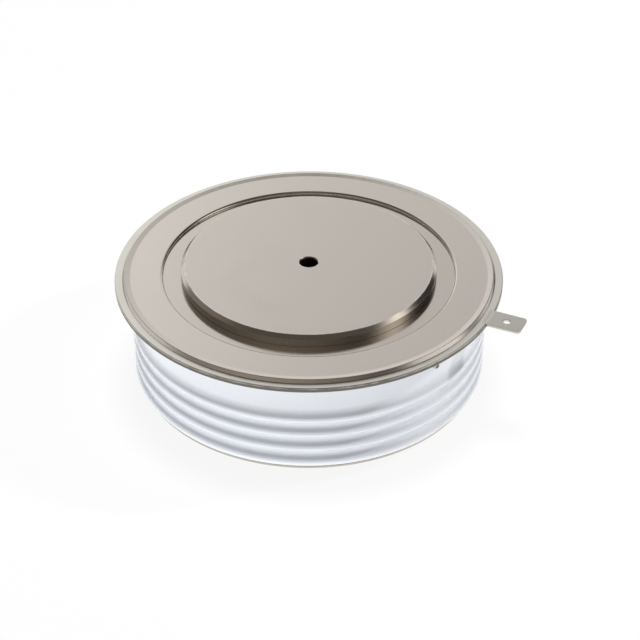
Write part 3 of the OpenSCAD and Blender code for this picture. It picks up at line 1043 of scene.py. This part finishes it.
def make_finishes(effects: Effects) -> Finishes:
    """Makes one material for each slot.

    Args:
        effects: The shared effect groups.

    Returns:
        The materials by slot.
    """
    nickel: Color = (0.58, 0.54, 0.49)
    # A darker tone that the zones below mix in: on the welded lip it is painted shade that dims the lip's
    # highlight; on the pole walls and the moats it only makes them a little darker.
    dark_tone: Color = (0.20, 0.17, 0.135)
    # Near-black painted shade for the inside of the locating holes.
    hole: Color = (0.06, 0.05, 0.045)
    wall = Zone(24.35, 25.4, 22.9, 25.93, dark_tone, 0.06, 0.0, soft=0.1)
    turned = Zone(24.4, 25.05, 25.35, 25.93, dark_tone, 0.0, -0.1, soft=0.1)
    foot_wall = Zone(24.35, 25.4, 0.07, 3.2, dark_tone, 0.1, 0.05, soft=0.1)
    # Painted shade: both locating holes are painted near black inside.
    upper_bore_shade = Zone(-1.0, 1.8, 22.0, 25.9, hole, 0.95, 0.3, soft=0.1)
    lower_bore_shade = Zone(-1.0, 1.8, 0.1, 4.0, hole, 0.95, 0.3, soft=0.1)
    upper_moat = Zone(24.0, 28.9, 23.0, 23.85, dark_tone, 0.06, 0.02)
    lower_moat = Zone(24.0, 28.9, 2.3, 3.2, dark_tone, 0.06, 0.02)
    # Painted shade: the welded lip takes a little of the darker tone, which dims its highlight.
    lip = Zone(35.9, 36.7, 23.85, 25.0, dark_tone, 0.12, 0.08, soft=0.2)
    # Painted dark reflection: the weld ring's outer edge is painted near black.
    rim_edge_shade = Zone(37.75, 38.2, 22.0, 23.72, (0.14, 0.13, 0.11), 0.95, 0.1, soft=0.1)
    # Painted highlight: the weld ring's top flat is painted lighter than the bare nickel.
    rim_top_highlight = Zone(36.4, 37.9, 23.78, 23.95, (0.74, 0.72, 0.66), 0.85, 0.0, soft=0.1)
    foot_metal = Zone(28.0, 36.0, 2.0, 2.5, (0.46, 0.48, 0.52), 0.9, 0.2, soft=0.08, uneven=0.05)
    top_metal = Zone(28.0, 36.0, 22.73, 24.0, (0.42, 0.42, 0.42), 0.9, 0.2, soft=0.12)
    # Worn edges with a painted glint; the edge at radius 1.95 paints the glint on the locating hole's rim.
    pole_edges = ((24.3, 26.0), (24.3, 0.0), (1.95, 26.0))
    finishes = {
        Slot.POLE: MetalFinish("lapped_pole_nickel", nickel, 0.24, edges=pole_edges,
                               zones=(wall, turned, foot_wall, upper_bore_shade, lower_bore_shade)),
        Slot.FLANGE: MetalFinish("pressed_sheet_nickel", nickel, 0.13, wave_height=0.006, pitch=0.35,
                                 zones=(upper_moat, lower_moat, lip)),
        Slot.RIM: MetalFinish("weld_ring_nickel", (0.57, 0.55, 0.50), 0.3, pitch=0.12, pitch_tone=0.04,
                              edges=((37.93, 23.8),), zones=(rim_top_highlight, rim_edge_shade)),
        Slot.GLAZE: GlazeFinish("glazed_alumina", (0.865, 0.9, 0.96), (0.835, 0.875, 0.94),
                                zones=(foot_metal, top_metal)),
        Slot.MOLYBDENUM: MetalFinish("ground_molybdenum", (0.36, 0.36, 0.38), 0.38, pitch=0.08,
                                     pitch_tone=0.06),
        Slot.SILICON: SoftFinish("polished_silicon", (0.085, 0.095, 0.125), (0.11, 0.12, 0.15), 0.12,
                                 bump=0.0004),
        Slot.RUBBER: SoftFinish("cast_edge_rubber", (0.27, 0.045, 0.028), (0.2, 0.03, 0.02), 0.55),
        Slot.POLYMER: SoftFinish("turned_fluoropolymer", (0.76, 0.76, 0.73), (0.7, 0.7, 0.67), 0.42,
                                 pitch=0.18),
        Slot.GATE: MetalFinish("silvered_gate_metal", (0.62, 0.61, 0.59), 0.3, grain=0.12),
    }
    return {slot: finish.build(effects) for slot, finish in finishes.items()}


@dataclass
class Studio:
    """Floor, reflection surround, lamps, world and camera.

    Attributes:
        azimuth: Angle of the camera round the part, in degrees.
        elevation: Angle of the camera above the floor, in degrees.
        distance: Distance of the camera from the plateau's centre.
        focal_px: Focal length in pixels of the square image.
        image_px: Width of the image in pixels.
        target_z: Height of the plateau's centre.
        aside: Shift of the camera to its right of that centre.
        below: Shift of the camera below the line to that centre.
        lamp_z: Height that the lamps point at.
        floor_reach: Half the width of the floor, in metres.
        floor_lit: Share of the floor's look that takes light and shadow.
        dome_r: Radius of the surround.
        dome_low: Lowest elevation of the surround, in degrees.
        dome_columns: Steps of the surround round the axis.
        dome_rows: Steps of the surround in elevation.
    """

    azimuth: float = 24.5
    elevation: float = 35.44
    distance: float = 375.0
    focal_px: float = 1913.2
    image_px: float = 640.0
    target_z: float = 24.35
    aside: float = 2.1855
    below: float = 10.03
    lamp_z: float = 12.0
    floor_reach: float = 6.0
    floor_lit: float = 0.12
    dome_r: float = 1400.0
    dome_low: float = 1.0
    dome_columns: int = 96
    dome_rows: int = 24

    def direction(self, side: float, elevation: float) -> Vector:
        """Gives the way to a place by its angle from the camera's side and its elevation."""
        a = math.radians(self.azimuth + side)
        e = math.radians(elevation)
        return Vector((math.sin(a) * math.cos(e), -math.cos(a) * math.cos(e), math.sin(e)))

    def axes(self) -> tuple[Vector, Vector, Vector]:
        """Gives the camera's right, up and backward directions."""
        a = math.radians(self.azimuth)
        right = Vector((math.cos(a), math.sin(a), 0.0))
        back = self.direction(0.0, self.elevation)
        return right, back.cross(right), back

    def camera(self) -> None:
        """Makes the camera at the photograph's viewpoint."""
        right, up, back = self.axes()
        data = bpy.data.cameras.new("photo_camera")
        data.sensor_width = 36.0
        data.lens = data.sensor_width * self.focal_px / self.image_px
        data.clip_start = 0.01
        holder = bpy.data.objects.new("photo_camera", data)
        shift = right * self.aside - up * self.below + back * self.distance
        place = Vector((0.0, 0.0, self.target_z)) + shift
        turn = Matrix((right, up, back)).transposed().to_4x4()
        holder.matrix_world = Matrix.Translation(place * MM) @ turn
        add_to_scene(holder)
        bpy.context.scene.camera = holder

    @staticmethod
    def seen(t: Tree) -> Socket:
        """Gives 1 for camera, glossy and transmission rays, and 0 for the others."""
        path = t.add("ShaderNodeLightPath").outputs
        first = t.math("MAXIMUM", path["Is Camera Ray"], path["Is Glossy Ray"])
        return t.math("MAXIMUM", first, path["Is Transmission Ray"])

    def world(self, above: float, below: float, lean: float) -> None:
        """Makes a white world that lights the part at a plain level, mostly from the table's side.

        Args:
            above: Strength of its diffuse light from above the horizon.
            below: Strength of its diffuse light from below the horizon.
            lean: How much stronger the lower light is at the camera's left.
        """
        world = bpy.data.worlds.new("white_studio")
        world.use_nodes = True
        bpy.context.scene.world = world
        t = Tree(world.node_tree)
        way = t.add("ShaderNodeTexCoord").outputs["Generated"]
        right = self.axes()[0]
        aside = t.add("ShaderNodeVectorMath", {0: way, 1: right}, operation="DOT_PRODUCT").outputs["Value"]
        up = t.add("ShaderNodeSeparateXYZ", {0: way}).outputs[2]
        low = t.minus(below, t.times(aside, lean))
        level = t.plus(low, t.times(t.rise(up, -0.1, 0.1), t.minus(above, low)))
        shown = t.times(self.seen(t), t.minus(1.0, level))
        sky = world.node_tree.nodes["Background"]
        sky.inputs["Color"].default_value = (1.0, 1.0, 1.0, 1.0)
        t.feed(sky.inputs["Strength"], t.plus(level, shown))

    def floor(self) -> None:
        """Makes the pale floor, which shows white and keeps the part's shadow."""
        mesh = bpy.data.meshes.new("pale_floor")
        signs = ((-1, -1), (1, -1), (1, 1), (-1, 1))
        corners = [(x * self.floor_reach, y * self.floor_reach, 0.0) for x, y in signs]
        mesh.from_pydata(corners, [], [(0, 1, 2, 3)])
        floor = bpy.data.objects.new("pale_floor", mesh)
        add_to_scene(floor)
        material, t, shader = start_material("pale_floor")
        material.node_tree.nodes.remove(shader)
        lit = t.add("ShaderNodeBsdfDiffuse", {"Color": (0.9, 0.9, 0.9, 1.0)})
        white = t.add("ShaderNodeEmission", {"Color": (1.0, 1.0, 1.0, 1.0), "Strength": 1.0})
        shown = t.add("ShaderNodeMixShader", {0: self.floor_lit, 1: white.outputs[0], 2: lit.outputs[0]})
        out = material.node_tree.nodes["Material Output"]
        t.feed(out.inputs["Surface"], shown.outputs[0])
        mesh.materials.append(material)
        floor.visible_diffuse = False
        floor.visible_shadow = False

    def surround(self) -> None:
        """Makes the dome that the metal mirrors: dim behind the camera, light panels behind the part."""
        section = arc((0.0, 0.0), self.dome_r, self.dome_low, 90.0, self.dome_rows)
        lathe = Lathe(segments=self.dome_columns, support=self.dome_r)
        mesh = lathe.mesh("studio_surround", section, False)
        surround = bpy.data.objects.new("studio_surround", mesh)
        surround.rotation_euler = (0.0, 0.0, math.radians(self.azimuth))
        add_to_scene(surround)
        surround.visible_camera = False
        surround.visible_diffuse = False
        surround.visible_shadow = False
        surround.visible_transmission = False
        mesh.materials.append(self.surround_material())

    def surround_material(self) -> Material:
        """Makes the surround's glow, by the angle from the camera's side and by elevation.

        Each level has the angle, the strength, the share of blue, and how far down the glow reaches
        there, from 0 at border_high to 1 at border_drop below it. Above far_dim degrees the glow is
        dim, and on the camera's side that starts near_lead degrees sooner.

        Returns:
            The material.
        """
        far_dim = 44.0
        near_lead = 13.0
        dim_width = 15.0
        border_high = 20.0
        border_drop = 18.0
        border_width = 6.0
        radius = self.dome_r * MM
        material, t, shader = start_material("studio_surround")
        material.node_tree.nodes.remove(shader)
        where = t.add("ShaderNodeTexCoord").outputs["Object"]
        part = t.add("ShaderNodeSeparateXYZ", {0: where}).outputs
        round_part = t.math("ARCTAN2", part[0], t.times(part[1], -1.0))
        share = t.plus(t.math("DIVIDE", round_part, 2 * math.pi), 0.5)
        ramp = t.add("ShaderNodeValToRGB", {0: share})
        levels = (
            (-180, 0.90, 1.0, 0.0), (-166, 1.25, 1.0, 0.0), (-156, 0.85, 1.0, 0.0), (-146, 0.42, 1.0, 0.0),
            (-132, 0.25, 0.9, 0.6), (-108, 0.27, 0.8, 0.6), (-96, 0.24, 0.77, 0.3), (-60, 0.32, 0.77, 0.6),
            (-36, 0.44, 0.77, 0.9), (-20, 0.44, 0.77, 0.9), (0, 0.36, 0.78, 0.9), (24, 0.24, 0.78, 0.9),
            (36, 0.14, 0.78, 0.9), (50, 0.14, 0.78, 0.6), (60, 0.30, 0.82, 0.0), (68, 1.2, 0.9, 0.0),
            (78, 2.3, 0.9, 0.0), (86, 2.1, 0.9, 0.3), (93, 1.3, 0.9, 0.8), (100, 0.3, 0.9, 1.0),
            (107, 0.06, 0.85, 1.0), (141, 0.04, 0.9, 1.0), (151, 0.3, 1.0, 0.3), (162, 0.75, 1.0, 0.0),
            (180, 0.90, 1.0, 0.0),
        )
        stops = ramp.color_ramp.elements
        while len(stops) < len(levels):
            stops.new(0.5)
        for stop, (angle, level, blue, depth) in zip(stops, levels):
            stop.position = angle / 360 + 0.5
            stop.color = (level, level * (0.5 + 0.5 * blue), level * blue, depth)
        height = t.math("DEGREES", t.math("ARCSINE", t.math("DIVIDE", part[2], radius)))
        near = t.rise(t.times(part[1], -1.0 / radius), -0.45, 0.0)
        dim_from = t.minus(far_dim, t.times(near, near_lead))
        dim_to = t.plus(dim_from, dim_width)
        dim = t.blend(t.rise(height, dim_from, dim_to), ramp.outputs[0], (0.13, 0.12, 0.105))
        color = t.blend(t.rise(height, 78.0, 88.0), dim, (0.5, 0.5, 0.5))
        tilt = t.add("ShaderNodeMapRange", {"Value": height, "From Min": 28.0, "From Max": 44.0,
                                            "To Min": 1.03, "To Max": 0.85}).outputs["Result"]
        glow = t.add("ShaderNodeEmission", {"Color": color, "Strength": tilt})
        clear = t.add("ShaderNodeBsdfTransparent")
        border = t.minus(border_high, t.times(ramp.outputs[1], border_drop))
        shown = t.rise(height, border, t.plus(border, border_width))
        mixed = t.add("ShaderNodeMixShader", {0: shown, 1: clear.outputs[0], 2: glow.outputs[0]})
        t.feed(material.node_tree.nodes["Material Output"].inputs["Surface"], mixed.outputs[0])
        return material

    def lamp(self, name: str, side: float, elevation: float, distance: float, size: float, power: float,
             color: Color = (1.0, 1.0, 1.0)) -> None:
        """Adds a soft lamp that points at the part.

        Args:
            name: Name of the lamp.
            side: Angle from the camera's side towards its right, in degrees.
            elevation: Angle above the floor, in degrees.
            distance: Distance in metres.
            size: Width of the lamp in metres.
            power: Power in watts.
            color: Colour of its light.
        """
        data = bpy.data.lights.new(name, "AREA")
        data.shape = "DISK"
        data.size = size
        data.energy = power
        data.color = color
        holder = bpy.data.objects.new(name, data)
        way = self.direction(side, elevation)
        holder.location = way * distance + Vector((0.0, 0.0, self.lamp_z * MM))
        holder.rotation_euler = way.to_track_quat("Z", "Y").to_euler()
        holder.visible_glossy = False
        add_to_scene(holder)

    def build(self) -> None:
        """Makes the whole studio."""
        self.camera()
        self.world(above=0.15, below=1.5, lean=0.55)
        self.floor()
        self.surround()
        self.lamp("overhead", 180.0, 84.0, 1.2, 0.4, 11.0)
        self.lamp("side", 100.0, 37.0, 1.2, 0.1, 5.0, (1.0, 0.97, 0.94))
        bpy.context.scene.view_settings.view_transform = "Standard"


def main() -> None:
    """Builds the pieces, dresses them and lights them."""
    logging.basicConfig(level=logging.INFO, format="%(name)s: %(message)s")
    finishes = make_finishes(Effects())
    Studio().build()
    for assembly in (CathodeSide(), CeramicBody(), AnodeSide(), GateTerminal(), InnerStack()):
        LOG.info("building %s", type(assembly).__name__)
        assembly.build(finishes)


if __name__ == "__main__":
    main()
